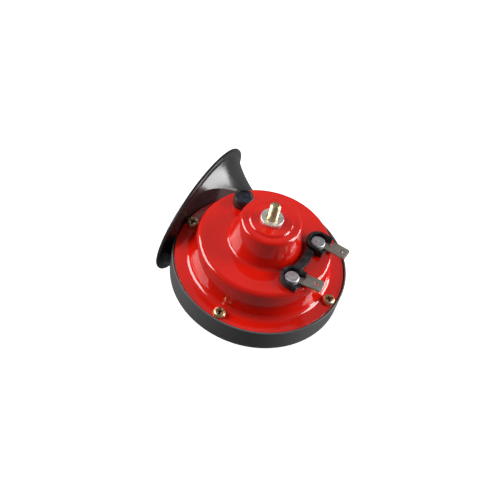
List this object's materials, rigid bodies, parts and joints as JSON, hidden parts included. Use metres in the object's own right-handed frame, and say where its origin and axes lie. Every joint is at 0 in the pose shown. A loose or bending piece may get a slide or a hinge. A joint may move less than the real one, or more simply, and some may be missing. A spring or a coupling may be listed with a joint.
{
  "type": "car horn",
  "caption": "Electric disc-and-trumpet car horn: red pressed cover with a fixing stud and two blade terminals, over a black moulded trumpet with a wide oval bell.",
  "frame": {"origin": "centre of the outer face of the stud washer, where a bracket seats", "axes": "+Z out along the fixing stud, -X out of the bell mouth, +X towards the blade terminals"},
  "size_m": [0.0837, 0.0962, 0.0763],
  "materials": {
    "red_enamel": "gloss",
    "black_moulding": "gloss",
    "black_insulator": "satin",
    "yellow_zinc": "satin",
    "bright_steel": "satin",
    "rivet_aluminium": "matte",
    "tab_brass": "satin",
    "gasket_rubber": "matte",
    "spring_steel": "satin",
    "copper_wire": "gloss",
    "soft_iron": "satin",
    "brown_board": "matte"
  },
  "bodies": {
    "housing": {"cover": "red_enamel", "trumpet_body": "black_moulding", "trumpet_back": "black_moulding", "rim_screws": "yellow_zinc", "pole_stud": "yellow_zinc", "stud_washer": "bright_steel", "upper_gasket": "gasket_rubber", "lower_gasket": "gasket_rubber", "diaphragm": "spring_steel", "bobbin": "black_insulator", "coil": "copper_wire", "coil_plate": "bright_steel", "coil_lead_1": "copper_wire", "coil_lead_2": "copper_wire", "breaker_lead": "copper_wire", "terminal_insulator": "black_insulator", "terminal_tab_1": "tab_brass", "terminal_tab_2": "tab_brass", "terminal_rivet_1": "rivet_aluminium", "terminal_rivet_2": "rivet_aluminium", "inner_washer_1": "brown_board", "inner_washer_2": "brown_board", "inner_tag_1": "tab_brass", "inner_tag_2": "tab_brass", "adjuster_collar": "black_insulator", "adjuster_bush": "bright_steel", "set_screw": "bright_steel", "adjuster_seal": "black_moulding", "breaker_bracket": "bright_steel", "breaker_upper_insulator": "brown_board", "breaker_middle_insulator": "brown_board", "breaker_lower_insulator": "brown_board", "breaker_clamp_plate": "bright_steel", "breaker_blade": "spring_steel", "breaker_fixed_arm": "spring_steel", "fixed_contact": "tab_brass", "moving_contact": "tab_brass", "breaker_rivets": "bright_steel"},
    "armature": {"armature": "soft_iron", "armature_washer": "soft_iron"}
  },
  "joints": [
    {"name": "armature_stroke", "type": "slide", "parent": "housing", "child": "armature", "axis": [0, 0, 1], "range_m": [0, 0.0006], "stiffness_N_per_m": 2000, "deforming": ["diaphragm", "breaker_blade"]}
  ]
}
